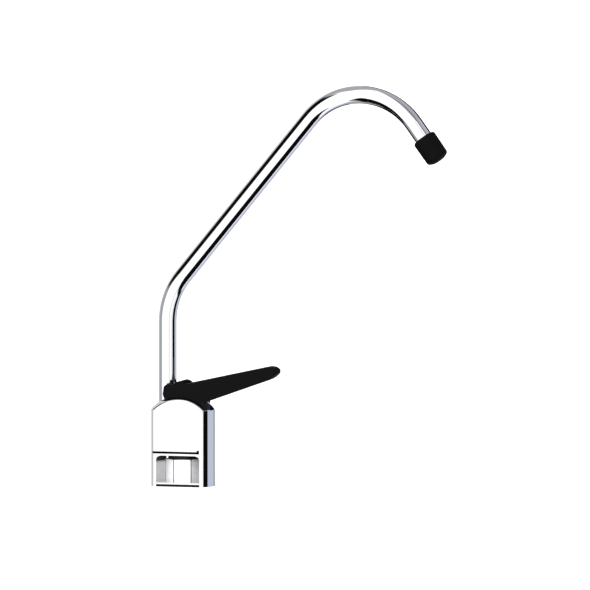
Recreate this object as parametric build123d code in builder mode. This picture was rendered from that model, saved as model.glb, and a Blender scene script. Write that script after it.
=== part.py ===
"""Drinking water filter tap: a self-closing lever tap with a long swivel spout.

Millimetres. +Z up, the deck is the plane Z = 0, and the origin is at the mouth of the
threaded inlet, on the tap's vertical axis. The lever and the spout point along +X.
"""

from build123d import *
from math import atan2, cos, radians, sin, sqrt, tan
import os

# Driving dimensions

# Cast body
body_diameter = 33.7
across_flats = 20.0
shoulder_height = 40.3
dome_radius = 22.0
edge_round = 1.3
skirt_wall = 1.35
skirt_height = 16.3
skirt_corner = 2.2
groove_height = 0.8
groove_depth = 0.7
groove_above_skirt = 1.2
groove_reach = 11.5
hook_height = 0.7
hook_width = 0.9

# Inlet fitting and valve seat
gasket_thickness = 1.2
gasket_inset = 0.7
plate_thickness = 0.8
hex_across = 16.0
hex_top = 14.5
hex_chamfer = 1.2
hex_turn = 14.0
boss_diameter = 14.8
inlet_minor_diameter = 9.96
inlet_depth = 9.0
inlet_washer_diameter = 9.2
inlet_washer_thickness = 1.2
inlet_washer_bore = 4.8
waterway_diameter = 4.5
spigot_diameter = 14.0
spigot_top = 23.4
chamber_diameter = 10.4
chamber_floor = 13.0
chamber_roof = 26.0
seat_diameter = 7.1
seat_socket = 1.4
seat_stand = 1.2
seat_lip_diameter = 5.7
fitting_washer_diameter = 15.6

# Stem, seat washer and spring
stem_diameter = 5.0
seat_washer_diameter = 7.6
seat_washer_thickness = 1.7
washer_cup_wall = 0.55
washer_cup_lap = 0.7
collar_thickness = 1.8
screw_head_diameter = 3.8
screw_head_height = 0.9
screw_diameter = 2.0
screw_length = 5.2
screw_slot = 0.5
spring_wire = 0.8
spring_mean_diameter = 7.8
spring_turns = 4.0
spring_washer_thickness = 0.6
packing_diameter = 8.2
packing_depth = 3.1
packing_ring_section = 1.5
packing_ring_count = 2
guide_wall = 0.45
guide_length = 3.6
guide_recess = 0.45
eye_thickness = 4.0

# Lever and its pin
pin_rise = 3.35
pin_diameter = 2.4
pin_end_recess = 0.4
pin_blind_wall = 1.0
fork_width = 16.4
ear_radius = 3.9
cheek_top_rise = 2.4
rear_reach = 8.9
rear_foot_inset = 1.3
rear_foot_rise = 3.5
rear_brow_drop = 1.3
rear_brow_inset = 2.4
heel_reach = 12.6
handle_reach = 53.4
handle_top_angle = 12.6
tip_depth = 6.4
tip_width = 9.4
tip_top_round = 3.2
tip_under_round = 1.8
tip_plan_round = 4.4
taper_start = 15.0
taper_round = 20.0
blade_length = 7.9
crest_round = 1.2
rear_round = 1.3
lever_edge_round = 0.5
lever_slot_end = 3.9
lever_slot_neck = 3.0
lever_slot_round = 1.2

# Spout
tube_diameter = 9.525
tube_wall = 0.9
spout_offset = 8.4
riser_height = 86.4
riser_bend_radius = 38.0
slant_angle = 39.4
slant_length = 109.0
crook_radius = 35.9
crook_angle = 104.7
nose_length = 8.6
tip_diameter = 12.9
tip_end_diameter = 12.5
tip_length = 15.3
tip_grip = 10.5
tip_shoulder_round = 1.6
tip_crown = 2.0
tip_corner_round = 1.8
outlet_diameter = 6.6
socket_floor = 30.0
ferrule_length = 11.0
ferrule_bore = 5.4
ferrule_spigot_length = 5.0
port_diameter = 3.4
port_offset = 6.3
port_floor = 24.2
thrust_washer_thickness = 0.7
thrust_washer_bore = 6.8
spout_ring_section = 1.36
spout_ring_count = 2
spout_ring_pitch = 2.9
spout_ring_start = 5.6
snap_ring_thickness = 1.2
snap_ring_diameter = 10.2
snap_ring_bore = 8.0
snap_ring_start = 1.9
snap_ring_gap_angle = 50.0

# Named clearances
running_fit = 0.05
seal_fit = 0.02
press_fit = 0.01
socket_fit = 0.08
thread_fit = 0.05
slide_fit = 0.15
seat_gap = 0.03
lever_gap = 0.3
tube_gap = 0.6
overrun = 5.0

# Sizes worked out from the driving dimensions

body_radius = body_diameter / 2
flat_plane = across_flats / 2
dome_centre = shoulder_height - sqrt(dome_radius**2 - body_radius**2)
dome_top = dome_centre + dome_radius
skirt_radius = body_radius - skirt_wall
groove_floor = skirt_height + groove_above_skirt
plate_top = gasket_thickness + plate_thickness

stem_radius = stem_diameter / 2
stem_bore_radius = stem_radius + running_fit
chamber_radius = chamber_diameter / 2
spigot_radius = spigot_diameter / 2
seat_top = chamber_floor + seat_stand
washer_bottom = seat_top + seat_gap
washer_top = washer_bottom + seat_washer_thickness
collar_top = washer_top + collar_thickness
spring_washer_bottom = chamber_roof - spring_washer_thickness
packing_top = chamber_roof + packing_depth

tube_radius = tube_diameter / 2
tube_bore_radius = tube_radius - tube_wall
socket_radius = tube_radius + socket_fit
ferrule_bottom = socket_floor + thrust_washer_thickness + running_fit
ferrule_top = ferrule_bottom + ferrule_length
spout_axis = Axis((-spout_offset, 0, 0), (0, 0, 1))
snap_groove_radius = snap_ring_diameter / 2 + running_fit
ferrule_groove_radius = tube_radius - spout_ring_section + seal_fit

pin_radius = pin_diameter / 2
pin_height = dome_top + pin_rise
fork_half = fork_width / 2
neck_half = stem_radius + slide_fit
slot_half = tube_radius + tube_gap

os.makedirs("parts", exist_ok=True)


# Cast body: domed cylinder with two flats, open skirt, valve chamber and spout socket
with BuildPart() as tap_body:
    with BuildSketch(Plane.XZ):
        with BuildLine():
            base_line = Line((0, 0), (body_radius, 0))
            wall_line = Line(base_line @ 1, (body_radius, shoulder_height))
            dome_mid = radians(45) + 0.5 * atan2(shoulder_height - dome_centre, body_radius)
            dome_arc = ThreePointArc(
                wall_line @ 1,
                (dome_radius * cos(dome_mid), dome_centre + dome_radius * sin(dome_mid)),
                (0, dome_top),
            )
            Line(dome_arc @ 1, (0, 0))
        make_face()
    revolve(axis=Axis.Z)
    with BuildSketch(Plane.XY.offset(-overrun)):
        with Locations((0, flat_plane + body_radius / 2), (0, -flat_plane - body_radius / 2)):
            Rectangle(body_diameter + overrun, body_radius)
    extrude(amount=dome_top + 2 * overrun, mode=Mode.SUBTRACT)
    fillet(tap_body.edges().filter_by(lambda e: e.center().Z > overrun), radius=edge_round)

    # Open skirt: the flats break into this round cavity, which leaves the spanner windows
    with BuildSketch(Plane.XZ):
        with BuildLine():
            Polyline(
                (0, -overrun),
                (skirt_radius, -overrun),
                (skirt_radius, skirt_height),
                (0, skirt_height),
                close=True,
            )
        make_face()
        fillet(vertices().group_by(Axis.Y)[-1].sort_by(Axis.X)[-1], radius=skirt_corner)
    revolve(axis=Axis.Z, mode=Mode.SUBTRACT)

    # Fine groove with its hooked end, across both flats
    for side_plane in (Plane.XZ.offset(flat_plane + overrun), Plane.XZ.offset(-flat_plane + groove_depth)):
        with BuildSketch(side_plane):
            with Locations(((groove_reach - body_radius) / 2, groove_floor + groove_height / 2)):
                Rectangle(groove_reach + body_radius, groove_height)
            with Locations((groove_reach - hook_width / 2, groove_floor + (groove_height + hook_height) / 2)):
                Rectangle(hook_width, groove_height + hook_height)
        extrude(amount=-overrun - groove_depth, mode=Mode.SUBTRACT)

    # Threaded seat for the fitting, valve chamber, packing pocket, stem bore and guide seat
    with BuildSketch(Plane.XZ):
        with BuildLine():
            Polyline(
                (0, skirt_height - overrun),
                (spigot_radius + thread_fit, skirt_height - overrun),
                (spigot_radius + thread_fit, spigot_top + thread_fit),
                (chamber_radius, spigot_top + thread_fit),
                (chamber_radius, chamber_roof),
                (packing_diameter / 2, chamber_roof),
                (packing_diameter / 2, packing_top),
                (stem_bore_radius, packing_top),
                (stem_bore_radius, dome_top - guide_recess - guide_length),
                (stem_bore_radius + guide_wall, dome_top - guide_recess - guide_length),
                (stem_bore_radius + guide_wall, dome_top + overrun),
                (0, dome_top + overrun),
                close=True,
            )
        make_face()
    revolve(axis=Axis.Z, mode=Mode.SUBTRACT)

    # Spout socket from above, its ring groove, and the port down to the valve chamber
    with BuildSketch(Plane.XY.offset(socket_floor)):
        with Locations((-spout_offset, 0)):
            Circle(socket_radius)
    extrude(amount=dome_top, mode=Mode.SUBTRACT)
    with BuildSketch(Plane.XY.offset(ferrule_bottom + snap_ring_start - slide_fit)):
        with Locations((-spout_offset, 0)):
            Circle(snap_groove_radius)
    extrude(amount=snap_ring_thickness + 2 * slide_fit, mode=Mode.SUBTRACT)
    with BuildSketch(Plane.XY.offset(port_floor)):
        with Locations((-port_offset, 0)):
            Circle(port_diameter / 2)
    extrude(amount=socket_floor - port_floor, mode=Mode.SUBTRACT)
tap_body.part.label = "tap_body"
export_step(tap_body.part, "parts/tap_body.step")


# Inlet fitting: hexagon, threaded socket underneath and a hollow spigot with the seat pocket
with BuildPart() as inlet_fitting:
    with BuildSketch(Plane.XY.offset(plate_top)):
        RegularPolygon(radius=hex_across / 2, side_count=6, major_radius=False, rotation=hex_turn)
    extrude(amount=hex_top - plate_top)
    hex_corner = hex_across / 2 / cos(radians(30))
    chamfer_width = hex_corner - hex_across / 2
    with BuildSketch(Plane.XZ):
        with BuildLine():
            Polyline(
                (0, plate_top),
                (hex_corner, plate_top),
                (hex_corner, hex_top - hex_chamfer / 2),
                (hex_corner - chamfer_width, hex_top),
                (0, hex_top),
                close=True,
            )
        make_face()
    revolve(axis=Axis.Z, mode=Mode.INTERSECT)
    with BuildSketch(Plane.XY):
        Circle(boss_diameter / 2)
    extrude(amount=plate_top)
    with BuildSketch(Plane.XY.offset(hex_top)):
        Circle(spigot_radius)
    extrude(amount=spigot_top - hex_top)
    with BuildSketch(Plane.XZ):
        with BuildLine():
            Polyline(
                (0, -overrun),
                (inlet_minor_diameter / 2, -overrun),
                (inlet_minor_diameter / 2, inlet_depth),
                (inlet_washer_diameter / 2, inlet_depth),
                (inlet_washer_diameter / 2, inlet_depth + inlet_washer_thickness),
                (waterway_diameter / 2, inlet_depth + inlet_washer_thickness),
                (waterway_diameter / 2, chamber_floor - seat_socket),
                (seat_diameter / 2, chamber_floor - seat_socket),
                (seat_diameter / 2, chamber_floor),
                (chamber_radius, chamber_floor),
                (chamber_radius, spigot_top + overrun),
                (0, spigot_top + overrun),
                close=True,
            )
        make_face()
    revolve(axis=Axis.Z, mode=Mode.SUBTRACT)
inlet_fitting.part.label = "inlet_fitting"
export_step(inlet_fitting.part, "parts/inlet_fitting.step")


# Base gasket: rubber ring that follows the outline of the skirt
with BuildPart() as base_gasket:
    with BuildSketch(Plane.XY):
        Circle(skirt_radius - gasket_inset)
        Rectangle(body_diameter, across_flats - 2 * running_fit, mode=Mode.INTERSECT)
        Circle(boss_diameter / 2 + lever_gap, mode=Mode.SUBTRACT)
    extrude(amount=gasket_thickness)
base_gasket.part.label = "base_gasket"
export_step(base_gasket.part, "parts/base_gasket.step")


# Plated backing plate between the gasket and the hexagon, flush with both flats
with BuildPart() as gasket_plate:
    with BuildSketch(Plane.XY.offset(gasket_thickness)):
        Circle(skirt_radius - slide_fit)
        Rectangle(body_diameter, across_flats - 2 * running_fit, mode=Mode.INTERSECT)
        Circle(boss_diameter / 2 + slide_fit, mode=Mode.SUBTRACT)
    extrude(amount=plate_thickness)
gasket_plate.part.label = "gasket_plate"
export_step(gasket_plate.part, "parts/gasket_plate.step")


# Sealing washer between the hexagon and the roof of the skirt
with BuildPart() as fitting_washer:
    with BuildSketch(Plane.XY.offset(hex_top)):
        Circle(fitting_washer_diameter / 2)
        Circle(spigot_radius + slide_fit, mode=Mode.SUBTRACT)
    extrude(amount=skirt_height - hex_top)
fitting_washer.part.label = "fitting_washer"
export_step(fitting_washer.part, "parts/fitting_washer.step")


# Flat washer at the end of the inlet thread, which the supply shank bears on
with BuildPart() as inlet_washer:
    with BuildSketch(Plane.XY.offset(inlet_depth)):
        Circle(inlet_washer_diameter / 2 - press_fit)
        Circle(inlet_washer_bore / 2, mode=Mode.SUBTRACT)
    extrude(amount=inlet_washer_thickness)
inlet_washer.part.label = "inlet_washer"
export_step(inlet_washer.part, "parts/inlet_washer.step")


# Valve seat: pressed ring with a raised, narrowed lip
with BuildPart() as valve_seat:
    with BuildSketch(Plane.XZ):
        with BuildLine():
            Polyline(
                (waterway_diameter / 2, chamber_floor - seat_socket),
                (seat_diameter / 2 - press_fit, chamber_floor - seat_socket),
                (seat_diameter / 2 - press_fit, chamber_floor),
                (seat_lip_diameter / 2, seat_top),
                (waterway_diameter / 2, seat_top),
                close=True,
            )
        make_face()
    revolve(axis=Axis.Z)
valve_seat.part.label = "valve_seat"
export_step(valve_seat.part, "parts/valve_seat.step")


# Stem: washer cup and collar below, polished rod, flattened eye for the lever pin
with BuildPart() as stem:
    cup_radius = seat_washer_diameter / 2 + washer_cup_wall
    with BuildSketch(Plane.XZ):
        with BuildLine():
            Polyline(
                (0, washer_top),
                (seat_washer_diameter / 2 + press_fit, washer_top),
                (seat_washer_diameter / 2 + press_fit, washer_top - washer_cup_lap),
                (cup_radius, washer_top - washer_cup_lap),
                (cup_radius, collar_top),
                (stem_radius, collar_top),
                (stem_radius, pin_height + stem_radius),
                (0, pin_height + stem_radius),
                close=True,
            )
        make_face()
    revolve(axis=Axis.Z)
    chamfer(stem.edges().group_by(Axis.Z)[-1], length=stem_radius / 5)
    # Flats and rounded top of the eye
    eye_floor = dome_top + slide_fit
    with BuildSketch(Plane.XY.offset(eye_floor)):
        flat_width = stem_radius - eye_thickness / 2
        flat_centre = eye_thickness / 2 + flat_width / 2
        with Locations((0, flat_centre), (0, -flat_centre)):
            Rectangle(2 * stem_diameter, flat_width)
    extrude(amount=pin_height + stem_diameter - eye_floor, mode=Mode.SUBTRACT)
    with BuildSketch(Plane.XZ.offset(-stem_diameter)):
        with Locations((0, pin_height)):
            Circle(pin_radius + running_fit)
    extrude(amount=2 * stem_diameter, mode=Mode.SUBTRACT)
    # Tapped hole for the washer screw
    with BuildSketch(Plane.XY.offset(washer_top)):
        Circle(screw_diameter / 2 + press_fit)
    extrude(amount=screw_length - seat_washer_thickness + slide_fit, mode=Mode.SUBTRACT)
stem.part.label = "stem"
export_step(stem.part, "parts/stem.step")


# Rubber seat washer in the stem's cup
with BuildPart() as seat_washer:
    with BuildSketch(Plane.XY.offset(washer_bottom)):
        Circle(seat_washer_diameter / 2)
        Circle(screw_diameter / 2 + press_fit, mode=Mode.SUBTRACT)
    extrude(amount=seat_washer_thickness)
seat_washer.part.label = "seat_washer"
export_step(seat_washer.part, "parts/seat_washer.step")


# Slotted screw that holds the seat washer
with BuildPart() as washer_screw:
    with BuildSketch(Plane.XY.offset(washer_bottom - screw_head_height)):
        Circle(screw_head_diameter / 2)
    extrude(amount=screw_head_height)
    fillet(washer_screw.edges().group_by(Axis.Z)[0], radius=screw_head_height / 3)
    with BuildSketch(Plane.XY.offset(washer_bottom)):
        Circle(screw_diameter / 2)
    extrude(amount=screw_length)
    with BuildSketch(Plane.XY.offset(washer_bottom - screw_head_height)):
        Rectangle(screw_head_diameter + overrun, screw_slot)
    extrude(amount=screw_head_height / 2, mode=Mode.SUBTRACT)
washer_screw.part.label = "washer_screw"
export_step(washer_screw.part, "parts/washer_screw.step")


# Return spring between the stem's collar and the spring washer
with BuildPart() as return_spring:
    spring_room = spring_washer_bottom - collar_top
    spring_height = spring_room - spring_wire - 2 * seal_fit
    spring_start = collar_top + seal_fit + spring_wire / 2
    with BuildLine(Plane.XY.offset(spring_start)) as spring_path:
        Helix(pitch=spring_height / spring_turns, height=spring_height, radius=spring_mean_diameter / 2)
    with BuildSketch(Plane(spring_path.line @ 0, z_dir=spring_path.line % 0)):
        Circle(spring_wire / 2)
    sweep(path=spring_path.line, is_frenet=True)
return_spring.part.label = "return_spring"
export_step(return_spring.part, "parts/return_spring.step")


# Spring washer: closes the packing pocket and takes the spring's thrust
with BuildPart() as spring_washer:
    with BuildSketch(Plane.XY.offset(spring_washer_bottom)):
        Circle(chamber_radius - slide_fit)
        Circle(stem_radius + slide_fit, mode=Mode.SUBTRACT)
    extrude(amount=spring_washer_thickness)
spring_washer.part.label = "spring_washer"
export_step(spring_washer.part, "parts/spring_washer.step")


# Packing rings of the stem
with BuildPart() as stem_orings:
    ring_minor = (packing_diameter / 2 - stem_radius - 2 * seal_fit) / 2
    for ring in range(packing_ring_count):
        ring_height = chamber_roof + (ring + 0.5) * packing_depth / packing_ring_count
        with BuildSketch(Plane.XZ):
            with Locations((stem_radius + seal_fit + ring_minor, ring_height)):
                Ellipse(ring_minor, packing_ring_section / 2)
        revolve(axis=Axis.Z)
stem_orings.part.label = "stem_orings"
export_step(stem_orings.part, "parts/stem_orings.step")


# Guide liner of the stem, set just under the top of the dome
with BuildPart() as stem_guide:
    with BuildSketch(Plane.XY.offset(dome_top - guide_recess - guide_length)):
        Circle(stem_bore_radius + guide_wall - press_fit)
        Circle(stem_bore_radius, mode=Mode.SUBTRACT)
    extrude(amount=guide_length)
stem_guide.part.label = "stem_guide"
export_step(stem_guide.part, "parts/stem_guide.step")


# Lever: moulded fork that straddles the spout and the stem, with a tapered handle
with BuildPart() as lever:
    top_level = pin_height + cheek_top_rise
    ear_half = sqrt(ear_radius**2 - cheek_top_rise**2)
    under_start = (heel_reach, dome_centre + sqrt(dome_radius**2 - heel_reach**2))
    foot_height = dome_centre + sqrt(dome_radius**2 - rear_reach**2) + rear_foot_rise - rear_foot_inset
    tip_top_height = top_level + (handle_reach - ear_half) * tan(radians(handle_top_angle))
    taper_end = handle_reach - blade_length
    tip_under_height = tip_top_height - tip_depth
    with BuildSketch(Plane.XZ):
        with BuildLine():
            Polyline(
                (ear_half, top_level),
                (handle_reach, tip_top_height),
                (handle_reach, tip_under_height),
                under_start,
                (heel_reach, dome_centre),
                (rear_foot_inset - rear_reach, dome_centre),
                (rear_foot_inset - rear_reach, foot_height - rear_foot_rise),
                (-rear_reach, foot_height),
                (rear_foot_inset / 2 - rear_reach, top_level - rear_brow_drop),
                (rear_brow_inset - rear_reach, top_level),
                (-ear_half, top_level),
            )
            ThreePointArc(
                (-ear_half, top_level),
                (0, pin_height + ear_radius),
                (ear_half, top_level),
            )
        make_face()
        tip_corners = vertices().group_by(Axis.X)[-1].sort_by(Axis.Y)
        fillet(tip_corners[-1], radius=tip_top_round)
        fillet(tip_corners[0], radius=tip_under_round)
        fillet(vertices().filter_by(lambda v: abs(v.X) < ear_radius and v.Y > pin_height), radius=crest_round)
        fillet(vertices().filter_by(lambda v: v.X < -ear_radius and v.Y > under_start[1]), radius=rear_round)
    extrude(amount=fork_half, both=True)
    with BuildSketch(Plane.XY.offset(dome_centre - overrun)):
        with BuildLine():
            Polyline(
                (-rear_reach - overrun, fork_half),
                (taper_start, fork_half),
                (taper_end, tip_width / 2),
                (handle_reach, tip_width / 2),
                (handle_reach, -tip_width / 2),
                (taper_end, -tip_width / 2),
                (taper_start, -fork_half),
                (-rear_reach - overrun, -fork_half),
                close=True,
            )
        make_face()
        fillet(vertices().group_by(Axis.X)[-1], radius=tip_plan_round)
        taper_ends = vertices().filter_by(lambda v: min(abs(v.X - taper_start), abs(v.X - taper_end)) < edge_round)
        fillet(taper_ends, radius=taper_round)
    extrude(amount=tip_top_height, mode=Mode.INTERSECT)
    # Long edges of both sides, without the cross edges and the upright corners
    side_edges = lever.edges().filter_by(
        lambda e: e.bounding_box().min.Z > dome_centre + overrun
        and abs(e.center().Y) > edge_round
        and e.bounding_box().size.X > edge_round / 2
    )
    fillet(side_edges, radius=lever_edge_round)
    # Slot: wide round the spout tube, narrow past the stem
    with BuildSketch(Plane.XY.offset(dome_centre - overrun)):
        with BuildLine():
            Polyline(
                (-rear_reach - overrun, slot_half),
                (-lever_slot_neck, slot_half),
                (-lever_slot_neck, neck_half),
                (lever_slot_end, neck_half),
                (lever_slot_end, -neck_half),
                (-lever_slot_neck, -neck_half),
                (-lever_slot_neck, -slot_half),
                (-rear_reach - overrun, -slot_half),
                close=True,
            )
        make_face()
        fillet(vertices().filter_by(lambda v: v.X > -rear_reach), radius=lever_slot_round)
    extrude(amount=tip_top_height, mode=Mode.SUBTRACT)
    # Hollow foot that follows the dome, and the pin's hole, which ends blind in one cheek
    with BuildSketch(Plane.XZ):
        with BuildLine():
            under_radius = dome_radius + lever_gap
            foot_arc = CenterArc((0, dome_centre), under_radius, -90, 180)
            Line(foot_arc @ 1, foot_arc @ 0)
        make_face()
    revolve(axis=Axis.Z, mode=Mode.SUBTRACT)
    with BuildSketch(Plane.XZ.offset(-fork_half - overrun)):
        with Locations((0, pin_height)):
            Circle(pin_radius + press_fit)
    extrude(amount=overrun + fork_width - pin_blind_wall, mode=Mode.SUBTRACT)
lever.part.label = "lever"
export_step(lever.part, "parts/lever.step")


# Hinge pin of the lever, pressed in from one side as far as the wall of the other cheek
with BuildPart() as lever_pin:
    with BuildSketch(Plane.XZ.offset(-fork_half + pin_end_recess)):
        with Locations((0, pin_height)):
            Circle(pin_radius)
    extrude(amount=fork_width - pin_end_recess - pin_blind_wall - seal_fit)
    chamfer(lever_pin.edges().filter_by(GeomType.CIRCLE), length=pin_radius / 5)
lever_pin.part.label = "lever_pin"
export_step(lever_pin.part, "parts/lever_pin.step")


# Spout tube: riser, bend, long slant, crook and nose in one plane
with BuildPart() as spout_tube:
    with BuildLine(Plane.XZ) as spout_path:
        riser = Line((-spout_offset, ferrule_top), (-spout_offset, riser_height))
        lower_bend = JernArc(riser @ 1, riser % 1, riser_bend_radius, -slant_angle)
        slant = PolarLine(lower_bend @ 1, slant_length, direction=lower_bend % 1)
        crook = JernArc(slant @ 1, slant % 1, crook_radius, -crook_angle)
        nose = PolarLine(crook @ 1, nose_length + tip_grip, direction=crook % 1)
    with BuildSketch(Plane.XY.offset(ferrule_top)):
        with Locations((-spout_offset, 0)):
            Circle(tube_radius)
            Circle(tube_bore_radius, mode=Mode.SUBTRACT)
    sweep(path=spout_path.line)
nose_end = nose @ 1
nose_direction = nose % 1
spout_tube.part.label = "spout_tube"
export_step(spout_tube.part, "parts/spout_tube.step")


# Rubber tip: rounded shoulder, slight taper and a crowned end round the outlet
with BuildPart() as spout_tip:
    tip_start = nose_end - nose_direction * tip_grip
    tip_plane = Plane(tip_start, x_dir=(nose_direction.Z, 0, -nose_direction.X), z_dir=(0, -1, 0))
    tip_side = tip_length - tip_crown
    crown_radius = ((tip_end_diameter / 2) ** 2 + tip_crown**2) / (2 * tip_crown)
    crown_at_outlet = tip_length - crown_radius + sqrt(crown_radius**2 - (outlet_diameter / 2) ** 2)
    with BuildSketch(tip_plane):
        with BuildLine():
            Polyline(
                (tube_radius + press_fit, 0),
                (tip_diameter / 2, 0),
                (tip_end_diameter / 2, tip_side),
            )
            RadiusArc((tip_end_diameter / 2, tip_side), (outlet_diameter / 2, crown_at_outlet), -crown_radius)
            Polyline(
                (outlet_diameter / 2, crown_at_outlet),
                (outlet_diameter / 2, tip_grip + seal_fit),
                (tube_radius + press_fit, tip_grip + seal_fit),
                (tube_radius + press_fit, 0),
            )
        make_face()
        fillet(vertices().sort_by(Axis.X)[-1], radius=tip_shoulder_round)
        fillet(vertices().filter_by(lambda v: abs(v.Y - tip_side) < seal_fit), radius=tip_corner_round)
    revolve(axis=Axis(tip_start, nose_direction))
spout_tip.part.label = "spout_tip"
export_step(spout_tip.part, "parts/spout_tip.step")


# Swivel ferrule: brazed under the tube, with one groove for the snap ring and two for seals
with BuildPart() as spout_ferrule:
    ferrule_plane = Plane((-spout_offset, 0, ferrule_bottom), x_dir=(1, 0, 0), z_dir=(0, -1, 0))
    with BuildSketch(ferrule_plane):
        with BuildLine():
            Polyline(
                (ferrule_bore / 2, 0),
                (tube_radius, 0),
                (tube_radius, ferrule_length),
                (tube_bore_radius - press_fit, ferrule_length),
                (tube_bore_radius - press_fit, ferrule_length + ferrule_spigot_length),
                (ferrule_bore / 2, ferrule_length + ferrule_spigot_length),
                close=True,
            )
        make_face()
    revolve(axis=spout_axis)
    with BuildSketch(Plane.XY.offset(ferrule_bottom + snap_ring_start - slide_fit)):
        with Locations((-spout_offset, 0)):
            Circle(snap_groove_radius)
            Circle(snap_ring_bore / 2 - slide_fit, mode=Mode.SUBTRACT)
    extrude(amount=snap_ring_thickness + 2 * slide_fit, mode=Mode.SUBTRACT)
    for ring in range(spout_ring_count):
        ring_floor = ferrule_bottom + spout_ring_start + ring * spout_ring_pitch
        with BuildSketch(Plane.XY.offset(ring_floor)):
            with Locations((-spout_offset, 0)):
                Circle(snap_groove_radius)
                Circle(ferrule_groove_radius, mode=Mode.SUBTRACT)
        extrude(amount=spout_ring_section + 2 * slide_fit, mode=Mode.SUBTRACT)
spout_ferrule.part.label = "spout_ferrule"
export_step(spout_ferrule.part, "parts/spout_ferrule.step")


# Seal rings of the swivel, one in each groove of the ferrule
with BuildPart() as spout_orings:
    ring_minor = (socket_radius - ferrule_groove_radius - 2 * seal_fit) / 2
    for ring in range(spout_ring_count):
        ring_height = spout_ring_start + slide_fit + spout_ring_section / 2 + ring * spout_ring_pitch
        with BuildSketch(ferrule_plane):
            with Locations((ferrule_groove_radius + seal_fit + ring_minor, ring_height)):
                Ellipse(ring_minor, spout_ring_section / 2)
        revolve(axis=spout_axis)
spout_orings.part.label = "spout_orings"
export_step(spout_orings.part, "parts/spout_orings.step")


# Open snap ring that keeps the ferrule in its socket
with BuildPart() as spout_snap_ring:
    with BuildSketch(Plane.XY.offset(ferrule_bottom + snap_ring_start)):
        with Locations((-spout_offset, 0)):
            Circle(snap_ring_diameter / 2)
            Circle(snap_ring_bore / 2, mode=Mode.SUBTRACT)
        with BuildLine():
            gap_reach = snap_ring_diameter
            gap_half = gap_reach * tan(radians(snap_ring_gap_angle / 2))
            Polyline(
                (-spout_offset, 0),
                (-spout_offset - gap_reach, gap_half),
                (-spout_offset - gap_reach, -gap_half),
                close=True,
            )
        make_face(mode=Mode.SUBTRACT)
    extrude(amount=snap_ring_thickness)
spout_snap_ring.part.label = "spout_snap_ring"
export_step(spout_snap_ring.part, "parts/spout_snap_ring.step")


# Plastic washer under the ferrule, which the spout turns on
with BuildPart() as spout_thrust_washer:
    with BuildSketch(Plane.XY.offset(socket_floor)):
        with Locations((-spout_offset, 0)):
            Circle(socket_radius - slide_fit)
            Circle(thrust_washer_bore / 2, mode=Mode.SUBTRACT)
    extrude(amount=thrust_washer_thickness)
spout_thrust_washer.part.label = "spout_thrust_washer"
export_step(spout_thrust_washer.part, "parts/spout_thrust_washer.step")
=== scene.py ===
import math

import bmesh
import bpy
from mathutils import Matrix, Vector


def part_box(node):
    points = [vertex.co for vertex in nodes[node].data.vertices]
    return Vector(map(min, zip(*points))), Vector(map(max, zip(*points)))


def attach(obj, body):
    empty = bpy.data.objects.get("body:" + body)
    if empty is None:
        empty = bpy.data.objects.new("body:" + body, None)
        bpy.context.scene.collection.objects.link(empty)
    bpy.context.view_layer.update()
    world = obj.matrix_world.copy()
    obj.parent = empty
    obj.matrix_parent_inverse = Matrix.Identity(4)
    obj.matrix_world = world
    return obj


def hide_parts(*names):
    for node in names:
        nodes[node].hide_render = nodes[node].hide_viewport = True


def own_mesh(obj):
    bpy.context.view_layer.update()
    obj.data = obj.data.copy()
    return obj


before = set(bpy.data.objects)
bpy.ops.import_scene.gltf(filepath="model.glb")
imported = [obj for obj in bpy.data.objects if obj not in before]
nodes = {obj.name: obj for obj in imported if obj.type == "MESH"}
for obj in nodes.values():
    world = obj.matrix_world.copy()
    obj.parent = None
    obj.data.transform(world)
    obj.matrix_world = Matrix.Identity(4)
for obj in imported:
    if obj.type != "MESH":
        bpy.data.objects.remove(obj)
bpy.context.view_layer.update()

# Places read off the frame, in metres
body_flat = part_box("tap_body")[1][1]
plate_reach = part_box("gasket_plate")[1][0]
plate_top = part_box("gasket_plate")[1][2]
hexagon_top, skirt_roof = (corner[2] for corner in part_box("fitting_washer"))
socket_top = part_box("inlet_washer")[0][2]
lever_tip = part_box("lever")[1][0]

# The camera's place, worked out from the photograph
AZIMUTH = math.radians(16.0)
ELEVATION = math.radians(4.5)
METRES_PER_PIXEL = 1 / 1900
FRAME_PIXELS = 590
ORIGIN_PIXEL = (183.0, 485.2)
DISTANCE = 12.0
UP = Vector((0.0, 0.0, 1.0))
toward = Vector((math.sin(AZIMUTH), -math.cos(AZIMUTH), 0.0))
rightward = Vector((math.cos(AZIMUTH), math.sin(AZIMUTH), 0.0))
view_back = toward * math.cos(ELEVATION) + UP * math.sin(ELEVATION)
view_up = UP * math.cos(ELEVATION) - toward * math.sin(ELEVATION)


# Node helpers

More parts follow.
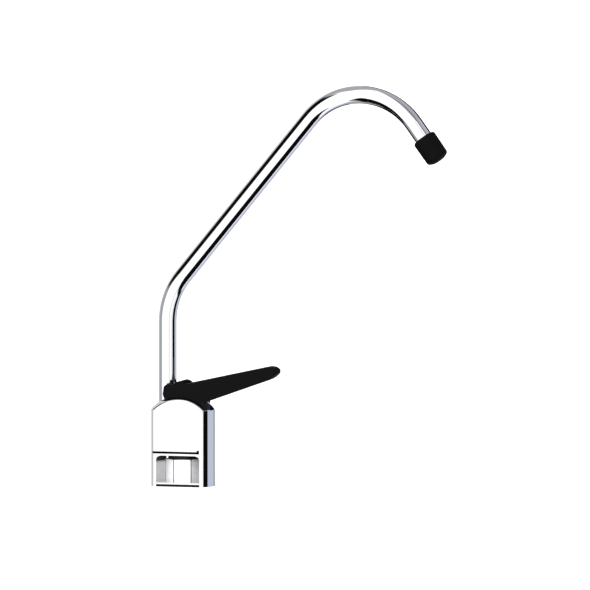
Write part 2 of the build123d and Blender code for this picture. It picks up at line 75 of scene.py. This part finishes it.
class Graph:
    """Short names for the nodes of one material or world."""

    # Places of the colour sockets on a Mix node
    MIX_A = 6
    MIX_B = 7
    MIX_RESULT = 2

    def __init__(self, tree):
        self.nodes = tree.nodes
        self.links = tree.links

    def put(self, kind, **values):
        node = self.nodes.new(kind)
        for name, value in values.items():
            setattr(node, name, value)
        return node

    def feed(self, socket, value):
        if isinstance(value, bpy.types.NodeSocket):
            self.links.new(value, socket)
        else:
            socket.default_value = value

    def math(self, operation, a, b=0.0):
        node = self.put("ShaderNodeMath", operation=operation)
        self.feed(node.inputs[0], a)
        self.feed(node.inputs[1], b)
        return node.outputs[0]

    def mix(self, share, a, b):
        node = self.put("ShaderNodeMix", data_type="RGBA")
        self.feed(node.inputs["Factor"], share)
        self.feed(node.inputs[self.MIX_A], a)
        self.feed(node.inputs[self.MIX_B], b)
        return node.outputs[self.MIX_RESULT]

    def ramp(self, value, low, high, to_low=0.0, to_high=1.0):
        """Smooth step from to_low to to_high while the value goes from low to high."""
        node = self.put("ShaderNodeMapRange", interpolation_type="SMOOTHSTEP")
        for socket, item in zip(node.inputs, (value, low, high, to_low, to_high)):
            self.feed(socket, item)
        return node.outputs[0]

    def band(self, value, low, high, soft):
        """1 between the limits and 0 outside them, with soft edges."""
        rise = self.ramp(value, low - soft, low + soft)
        fall = self.ramp(value, high - soft, high + soft, 1.0, 0.0)
        return self.math("MULTIPLY", rise, fall)

    def within(self, *limits):
        """1 where every value lies between its two limits, otherwise 0. None is no limit."""
        share = 1.0
        for value, low, high in limits:
            if low is not None:
                share = self.math("MULTIPLY", share, self.math("GREATER_THAN", value, low))
            if high is not None:
                share = self.math("MULTIPLY", share, self.math("LESS_THAN", value, high))
        return share

    def split(self, vector):
        """x, y and z of a place or direction."""
        node = self.put("ShaderNodeSeparateXYZ")
        self.feed(node.inputs[0], vector)
        return node.outputs[:]

    def radius(self, x, y):
        """Distance from the vertical axis through the origin."""
        squares = self.math("ADD", self.math("MULTIPLY", x, x), self.math("MULTIPLY", y, y))
        return self.math("SQRT", squares)

    def dot(self, vector, fixed):
        node = self.put("ShaderNodeVectorMath", operation="DOT_PRODUCT")
        self.feed(node.inputs[0], vector)
        node.inputs[1].default_value = fixed
        return node.outputs["Value"]


class Finish(Graph):
    """A material: its shader's sockets by name, and patterns laid by the place on the piece."""

    def __init__(self, name):
        self.material = bpy.data.materials.new(name)
        self.material.use_nodes = True
        super().__init__(self.material.node_tree)
        self.shader = self.nodes["Principled BSDF"]
        self.place = self.put("ShaderNodeTexCoord").outputs["Object"]

    def set(self, name, value):
        self.feed(self.shader.inputs[name], value)

    def current(self, name):
        """What feeds one of the shader's sockets so far."""
        return self.shader.inputs[name].links[0].from_socket

    def tint(self, share, shade):
        """Lay a shade over the base colour where share is 1."""
        self.set("Base Color", self.mix(share, self.current("Base Color"), shade))

    def noise(self, scale, detail=3.0, roughness=0.5):
        node = self.put("ShaderNodeTexNoise")
        self.feed(node.inputs["Vector"], self.place)
        node.inputs["Scale"].default_value = scale
        node.inputs["Detail"].default_value = detail
        node.inputs["Roughness"].default_value = roughness
        return node.outputs["Fac"]

    def bump(self, height, distance, normal=None):
        node = self.put("ShaderNodeBump")
        node.inputs["Strength"].default_value = 1.0
        node.inputs["Distance"].default_value = distance
        self.feed(node.inputs["Height"], height)
        if normal is not None:
            self.feed(node.inputs["Normal"], normal)
        return node.outputs["Normal"]


def rgb(red, green, blue):
    return (red, green, blue, 1.0)


def grey(level):
    return rgb(level, level, level)


def add_object(name, data):
    thing = bpy.data.objects.new(name, data)
    bpy.context.scene.collection.objects.link(thing)
    return thing


def copy_of(node, name):
    """A new piece with its own copy of a CAD node's mesh, in the same place."""
    piece = add_object(name, nodes[node].data.copy())
    piece.matrix_world = nodes[node].matrix_world
    return piece


# Materials: noise scales in cells per metre, depths in metres

NOISE_LOW = 0.3
NOISE_HIGH = 0.7
DRIFT_SCALE = 60.0
GLOSS_SCALE = 360.0
WAVE_SCALE = 90.0
PATCH_SCALE = 45.0
SINK_SCALE = 70.0
SINK_DEPTH = 0.00008


def metal(name, light, dark, roughness, spread, waviness, grain, grain_scale):
    """Polished or turned metal: colour drift, uneven gloss, slow waves and fine tool marks."""
    finish = Finish(name)
    finish.set("Base Color", finish.mix(finish.noise(DRIFT_SCALE), light, dark))
    finish.set("Metallic", 1.0)
    uneven = finish.noise(GLOSS_SCALE, detail=5.0, roughness=0.6)
    finish.set("Roughness", finish.ramp(uneven, NOISE_LOW, NOISE_HIGH, roughness, roughness + spread))
    waves = finish.bump(finish.noise(WAVE_SCALE, detail=1.0), waviness)
    marks = finish.noise(grain_scale, detail=4.0, roughness=0.6)
    finish.set("Normal", finish.bump(marks, grain, waves))
    return finish


def plastic(name, colour, worn, roughness, spread, grain, grain_scale, specular=0.5):
    """Moulded plastic or rubber: eroded skin texture, slow sink marks, and patches of wear."""
    finish = Finish(name)
    patches = finish.noise(PATCH_SCALE, detail=4.0, roughness=0.6)
    finish.set("Base Color", finish.mix(patches, colour, worn))
    finish.set("Roughness", finish.ramp(patches, NOISE_LOW, NOISE_HIGH, roughness, roughness + spread))
    finish.set("Specular IOR Level", specular)
    sink = finish.bump(finish.noise(SINK_SCALE, detail=1.0), SINK_DEPTH)
    skin = finish.noise(grain_scale, detail=3.0, roughness=0.6)
    finish.set("Normal", finish.bump(skin, grain, sink))
    return finish


PLATE_LIGHT = rgb(0.93, 0.93, 0.945)
PLATE_DARK = rgb(0.90, 0.905, 0.925)
MIRROR = {"roughness": 0.02, "spread": 0.025, "grain": 0.0000004, "grain_scale": 2600.0}

chrome = metal("chrome_plate", PLATE_LIGHT, PLATE_DARK, waviness=0.000004, **MIRROR)
tube_chrome = metal("chrome_tube", PLATE_LIGHT, PLATE_DARK, waviness=0.000003, **MIRROR)
steel = metal(
    "polished_steel", rgb(0.62, 0.62, 0.63), rgb(0.52, 0.52, 0.53),
    roughness=0.16, spread=0.10, waviness=0.000004, grain=0.000003, grain_scale=1800.0)
wire = metal(
    "drawn_wire", rgb(0.45, 0.45, 0.46), rgb(0.33, 0.33, 0.34),
    roughness=0.25, spread=0.15, waviness=0.000004, grain=0.000006, grain_scale=2400.0)
brass = metal(
    "plain_brass", rgb(0.72, 0.52, 0.22), rgb(0.60, 0.42, 0.17),
    roughness=0.20, spread=0.14, waviness=0.000005, grain=0.000005, grain_scale=1500.0)
lever_black = plastic(
    "black_lever", rgb(0.0018, 0.0018, 0.0022), rgb(0.0032, 0.0032, 0.0037),
    roughness=0.34, spread=0.14, grain=0.000012, grain_scale=2600.0, specular=0.055)
tip_black = plastic(
    "black_tip", rgb(0.0018, 0.0018, 0.0020), rgb(0.0030, 0.0029, 0.0032),
    roughness=0.42, spread=0.14, grain=0.000014, grain_scale=2200.0, specular=0.055)
gasket_black = plastic(
    "gasket_rubber", grey(0.006), grey(0.012),
    roughness=0.62, spread=0.16, grain=0.00002, grain_scale=1700.0, specular=0.12)
seal_black = plastic(
    "seal_rubber", rgb(0.006, 0.006, 0.0065), rgb(0.01, 0.01, 0.0105),
    roughness=0.40, spread=0.15, grain=0.000008, grain_scale=2400.0, specular=0.15)
fibre = plastic(
    "red_fibre", rgb(0.30, 0.035, 0.022), rgb(0.20, 0.022, 0.015),
    roughness=0.55, spread=0.20, grain=0.00002, grain_scale=1900.0)
acetal = plastic(
    "white_acetal", rgb(0.78, 0.78, 0.75), rgb(0.70, 0.70, 0.67),
    roughness=0.34, spread=0.12, grain=0.000006, grain_scale=2200.0)

# Places on the tap body, in metres: painted shade in the groove in its two flats and on the flat along
# its edges, and the hollow skirt below in dull grey with painted shade under its roof
GROOVE_FLOOR = body_flat - 0.00075
GROOVE_BOTTOM = skirt_roof + 0.0010
GROOVE_TOP = skirt_roof + 0.00218
GROOVE_END = 0.0117
HOOK_START = 0.0104
HOOK_TOP = skirt_roof + 0.00295
# Painted shade: near black in the groove and on the flat along its edges
GROOVE_PAINTED_SHADE = grey(0.002)
SKIRT_RADIUS = plate_reach + 0.0003
SKIRT_TOP = skirt_roof + 0.0001
SKIRT_FACE = body_flat - 0.00002
SKIRT_SHADE = grey(0.90)
SKIRT_METALLIC = 0.1
SKIRT_ROUGHNESS = 0.38
# Painted shade under the skirt's roof, growing darker upwards between these heights
ROOF_PAINTED_SHADE_FROM = skirt_roof - 0.0051
ROOF_PAINTED_SHADE_TO = skirt_roof - 0.0035
ROOF_PAINTED_SHADE = grey(0.005)


def body_finish():
    """Plated body: painted shade in and along the groove with its hook, and a skirt of dull unplated
    casting with painted shade under its roof.
    """
    finish = metal("chrome_body", PLATE_LIGHT, PLATE_DARK, waviness=0.000004, **MIRROR)
    x, y, z = finish.split(finish.place)
    depth = finish.math("ABSOLUTE", y)
    skirt = finish.within(
        (finish.radius(x, y), None, SKIRT_RADIUS), (z, None, SKIRT_TOP), (depth, None, SKIRT_FACE))
    groove = finish.within(
        (depth, GROOVE_FLOOR, None), (z, GROOVE_BOTTOM, GROOVE_TOP), (x, None, GROOVE_END))
    hook = finish.within(
        (depth, GROOVE_FLOOR, None), (z, GROOVE_BOTTOM, HOOK_TOP), (x, HOOK_START, GROOVE_END))
    # The skirt's dull grey, with painted shade under its roof
    skirt_grey_and_painted_shade = finish.mix(finish.ramp(z, ROOF_PAINTED_SHADE_FROM, ROOF_PAINTED_SHADE_TO), SKIRT_SHADE, ROOF_PAINTED_SHADE)
    finish.tint(skirt, skirt_grey_and_painted_shade)
    # Painted shade in the groove and its hook, and on the flat along their edges
    finish.tint(finish.math("MAXIMUM", groove, hook), GROOVE_PAINTED_SHADE)
    unplated = finish.math("MULTIPLY", skirt, 1.0 - SKIRT_METALLIC)
    finish.set("Metallic", finish.math("SUBTRACT", 1.0, unplated))
    dull = finish.math("MULTIPLY", skirt, SKIRT_ROUGHNESS)
    finish.set("Roughness", finish.math("MAXIMUM", finish.current("Roughness"), dull))
    return finish


# Places on the inlet fitting, in metres: its threaded socket, and the corners and top edge of its
# hexagon, which get painted shade
THREAD_PITCH = 0.0254 / 24
THREAD_DEPTH = 0.0006
SOCKET_RADIUS = 0.0052
CORNER_RADIUS = 0.00905
CORNER_BOTTOM = plate_top - 0.0001
CORNER_TOP = hexagon_top - 0.0002
CROWN_RADIUS = 0.0071
CROWN_BOTTOM = hexagon_top - 0.0005
CROWN_TOP = hexagon_top + 0.0001
# Painted shade for the hexagon's corners and for its top edge under the washer
HEXAGON_PAINTED_SHADE = grey(0.08)
FITTING_METALLIC = 0.08


def fitting_finish():
    """Satin plated fitting: painted shade on the corners and top edge of the hexagon, and the inlet
    thread as fine ridges.
    """
    finish = metal(
        "chrome_fitting", rgb(0.98, 0.98, 0.985), rgb(0.94, 0.94, 0.95),
        roughness=0.26, spread=0.10, waviness=0.000004, grain=0.000001, grain_scale=2200.0)
    finish.set("Metallic", FITTING_METALLIC)
    x, y, z = finish.split(finish.place)
    radius = finish.radius(x, y)
    turn = finish.math("DIVIDE", finish.math("ARCTAN2", y, x), math.tau)
    helix = finish.math("SUBTRACT", finish.math("DIVIDE", z, THREAD_PITCH), turn)
    socket = finish.within((radius, None, SOCKET_RADIUS), (z, None, socket_top))
    ridges = finish.math("MULTIPLY", finish.math("PINGPONG", helix, 0.5), socket)
    finish.set("Normal", finish.bump(ridges, THREAD_DEPTH, finish.current("Normal")))
    # Painted shade along the hexagon's corners and on its top edge
    corner = finish.within((radius, CORNER_RADIUS, None), (z, CORNER_BOTTOM, CORNER_TOP))
    crown = finish.within((radius, CROWN_RADIUS, None), (z, CROWN_BOTTOM, CROWN_TOP))
    finish.tint(finish.math("MAXIMUM", corner, crown), HEXAGON_PAINTED_SHADE)
    return finish


finish_of = {
    "tap_body": body_finish(), "spout_tube": tube_chrome, "inlet_fitting": fitting_finish(),
    "gasket_plate": chrome, "lever": lever_black, "spout_tip": tip_black,
    "base_gasket": gasket_black, "fitting_washer": seal_black, "inlet_washer": fibre,
    "valve_seat": brass, "return_spring": wire, "spring_washer": brass,
    "stem_orings": seal_black, "stem_guide": acetal, "spout_thrust_washer": acetal,
    "stem": steel, "seat_washer": seal_black, "washer_screw": brass, "lever_pin": steel,
    "spout_ferrule": brass, "spout_orings": seal_black, "spout_snap_ring": wire,
}
for name, finish in finish_of.items():
    for slot in nodes[name].material_slots:
        slot.material = finish.material


# Return spring


def add_spring_coil():
    """A copy of the spring with its own mesh, carried by the base in place of the spring."""
    coil = copy_of("return_spring", "spring_coil")
    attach(coil, "base")
    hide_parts("return_spring")
    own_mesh(coil)


add_spring_coil()


# Lever

TIP_LENGTH = 0.0064
TIP_START = lever_tip - TIP_LENGTH
TIP_FALL = 0.0021
TIP_FALL_POWER = 1.2
TIP_RISE = 0.0021
TIP_RISE_POWER = 2
TIP_SHORTENING = 0.0002
TIP_CUTS = 24
GAUGES = (lever_tip - 0.0234, lever_tip - 0.0114)
SAME_PLACE = 0.000001
CUT_SNAP = 0.0000001
SMOOTH_ANGLE = math.radians(40)


def cut_across(shape, x):
    """Add edges where an upright plane across the lever cuts its faces."""
    parts = shape.verts[:] + shape.edges[:] + shape.faces[:]
    bmesh.ops.bisect_plane(shape, geom=parts, dist=CUT_SNAP, plane_co=(x, 0, 0), plane_no=(1, 0, 0))


def surface_line(shape, furthest):
    """Height along the upper or lower surface: a straight line through its heights at the gauges."""
    start, end = GAUGES
    at_start, at_end = (
        furthest(vert.co.z for vert in shape.verts if abs(vert.co.x - gauge) < SAME_PLACE)
        for gauge in GAUGES)
    return lambda x: at_start + (x - start) * (at_end - at_start) / (end - start)


def round_tip(shape):
    """Let the end fall away above and rise below, over the lever's last few millimetres."""
    for gauge in GAUGES:
        cut_across(shape, gauge)
    for cut in range(TIP_CUTS):
        cut_across(shape, TIP_START + TIP_LENGTH * cut / TIP_CUTS)
    above = surface_line(shape, max)
    below = surface_line(shape, min)
    for vert in shape.verts:
        share = (vert.co.x - TIP_START) / TIP_LENGTH
        if share > 0:
            top = above(vert.co.x)
            bottom = below(vert.co.x)
            new_top = top - TIP_FALL * share ** TIP_FALL_POWER
            new_bottom = bottom + TIP_RISE * share ** TIP_RISE_POWER
            vert.co.z = new_bottom + (vert.co.z - bottom) / (top - bottom) * (new_top - new_bottom)
            vert.co.x -= TIP_SHORTENING * share


def smooth_faces(mesh):
    """Shade the faces smooth between sharp edges, without the normals of the old shape."""
    if "custom_normal" in mesh.attributes:
        mesh.attributes.remove(mesh.attributes["custom_normal"])
    for polygon in mesh.polygons:
        polygon.use_smooth = True
    mesh.set_sharp_from_angle(angle=SMOOTH_ANGLE)


def add_lever_moulding():
    """A copy of the lever with the rounder end that the photograph shows."""
    moulding = copy_of("lever", "lever_moulding")
    shape = bmesh.new()
    shape.from_mesh(moulding.data)
    bmesh.ops.remove_doubles(shape, verts=shape.verts[:], dist=SAME_PLACE)
    round_tip(shape)
    bmesh.ops.recalc_face_normals(shape, faces=shape.faces[:])
    shape.to_mesh(moulding.data)
    shape.free()
    smooth_faces(moulding.data)
    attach(moulding, "lever")
    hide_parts("lever")


add_lever_moulding()


# Floor

FLOOR_REACH = 4.0
FLOOR_DROP = 0.00005
FLOOR_CLOUD_SCALE = 3.0


def floor_finish():
    finish = Finish("floor_white")
    finish.set("Base Color", finish.mix(finish.noise(FLOOR_CLOUD_SCALE), grey(0.95), grey(0.97)))
    finish.set("Roughness", 0.9)
    finish.set("Specular IOR Level", 0.0)
    return finish


def add_floor():
    """Plain white floor, a hair under the part and not seen in its reflections."""
    reach = FLOOR_REACH
    corners = [(-reach, -reach, 0), (reach, -reach, 0), (reach, reach, 0), (-reach, reach, 0)]
    mesh = bpy.data.meshes.new("floor")
    mesh.from_pydata(corners, [], [(0, 1, 2, 3)])
    mesh.materials.append(floor_finish().material)
    floor = add_object("floor", mesh)
    floor.location.z = -FLOOR_DROP
    floor.visible_glossy = False


add_floor()


# Studio

WHITE = grey(1.25)
DAYLIGHT = grey(1.7)
BLACK = grey(0.003)
STREAK = grey(0.84)
DEGREES_PER_RADIAN = 180 / math.pi
BOARDS = (
    # from and to, round from the camera; from and to, up from level; edge softness; colour
    (12, 30, -90, 34, 7, STREAK),
    (46, 60, -90, 40, 5, STREAK),
    (-200, -76, -90, 90, 3, rgb(0.38, 0.40, 0.42)),
    (96, 200, -90, 90, 3, rgb(0.55, 0.58, 0.70)),
    (-200, -55, 52, 90, 5, rgb(0.42, 0.42, 0.44)),
    (20, 200, 38, 90, 4, rgb(0.42, 0.42, 0.46)),
    (-200, -126, -14, 36, 3, grey(0.66)),
    (-120, -60, 15, 46, 3, BLACK),
    (64, 101, -40, 22, 2, BLACK),
    (4, 84, -62, -34, 2, BLACK),
    (-125, -36, -72, -34, 2, BLACK),
    (-168, -116, -50, -16, 3, BLACK),
    (132, 178, -62, -41, 2, BLACK),
    (42, 54, 34, 80, 2, BLACK),
    (122, 182, 6, 36, 3, BLACK),
    (12, 58, 2, 26, 4, grey(0.50)),
    (146, 182, -14, 6, 3, grey(0.30)),
)
SOFTBOX_SIZE = 1.2
SOFTBOX_ENERGY = 6.0
SOFTBOX_PLACE = toward * 1.0 - rightward * 0.7 + UP * 1.5
SOFTBOX_TARGET = Vector((0.05, 0.0, 0.1))


def paint_studio():
    """Even daylight, and a white room with grey and black boards that only reflections show."""
    world = bpy.data.worlds.new("studio")
    world.use_nodes = True
    bpy.context.scene.world = world
    graph = Graph(world.node_tree)
    direction = graph.put("ShaderNodeTexCoord").outputs["Generated"]
    turn = graph.math("ARCTAN2", graph.dot(direction, rightward), graph.dot(direction, toward))
    rise = graph.math("ARCSINE", graph.split(direction)[2])
    around = graph.math("MULTIPLY", turn, DEGREES_PER_RADIAN)
    height = graph.math("MULTIPLY", rise, DEGREES_PER_RADIAN)
    room = WHITE
    for low, high, down, up, soft, shade in BOARDS:
        beside = graph.band(around, low, high, soft)
        level = graph.band(height, down, up, soft)
        room = graph.mix(graph.math("MULTIPLY", beside, level), room, shade)
    glossy = graph.put("ShaderNodeLightPath").outputs["Is Glossy Ray"]
    background = graph.nodes["Background"]
    graph.feed(background.inputs["Color"], graph.mix(glossy, DAYLIGHT, room))
    background.inputs["Strength"].default_value = 1.0


def add_softbox():
    """Wide soft lamp in front of the part, above it and to its left, and not seen in reflections."""
    lamp = bpy.data.lights.new("softbox", "AREA")
    lamp.shape = "DISK"
    lamp.size = SOFTBOX_SIZE
    lamp.energy = SOFTBOX_ENERGY
    softbox = add_object("softbox", lamp)
    softbox.location = SOFTBOX_PLACE
    softbox.rotation_euler = (SOFTBOX_TARGET - SOFTBOX_PLACE).to_track_quat("-Z", "Y").to_euler()
    softbox.visible_glossy = False


paint_studio()
add_softbox()


# Camera

SENSOR_WIDTH = 36.0
CLIP_END = 60.0


def add_camera():
    """Camera at the photograph's angle, with the part's origin on its pixel of the photograph."""
    lens = bpy.data.cameras.new("camera")
    lens.sensor_width = SENSOR_WIDTH
    lens.lens = SENSOR_WIDTH * DISTANCE / (FRAME_PIXELS * METRES_PER_PIXEL)
    lens.clip_end = CLIP_END
    camera = add_object("camera", lens)
    middle = FRAME_PIXELS / 2
    right_of_origin = (middle - ORIGIN_PIXEL[0]) * METRES_PER_PIXEL
    above_origin = (ORIGIN_PIXEL[1] - middle) * METRES_PER_PIXEL
    centre = rightward * right_of_origin + view_up * above_origin
    camera.location = centre + view_back * DISTANCE
    camera.rotation_euler = (-view_back).to_track_quat("-Z", "Y").to_euler()
    bpy.context.scene.camera = camera


add_camera()
bpy.context.scene.view_settings.view_transform = "Standard"
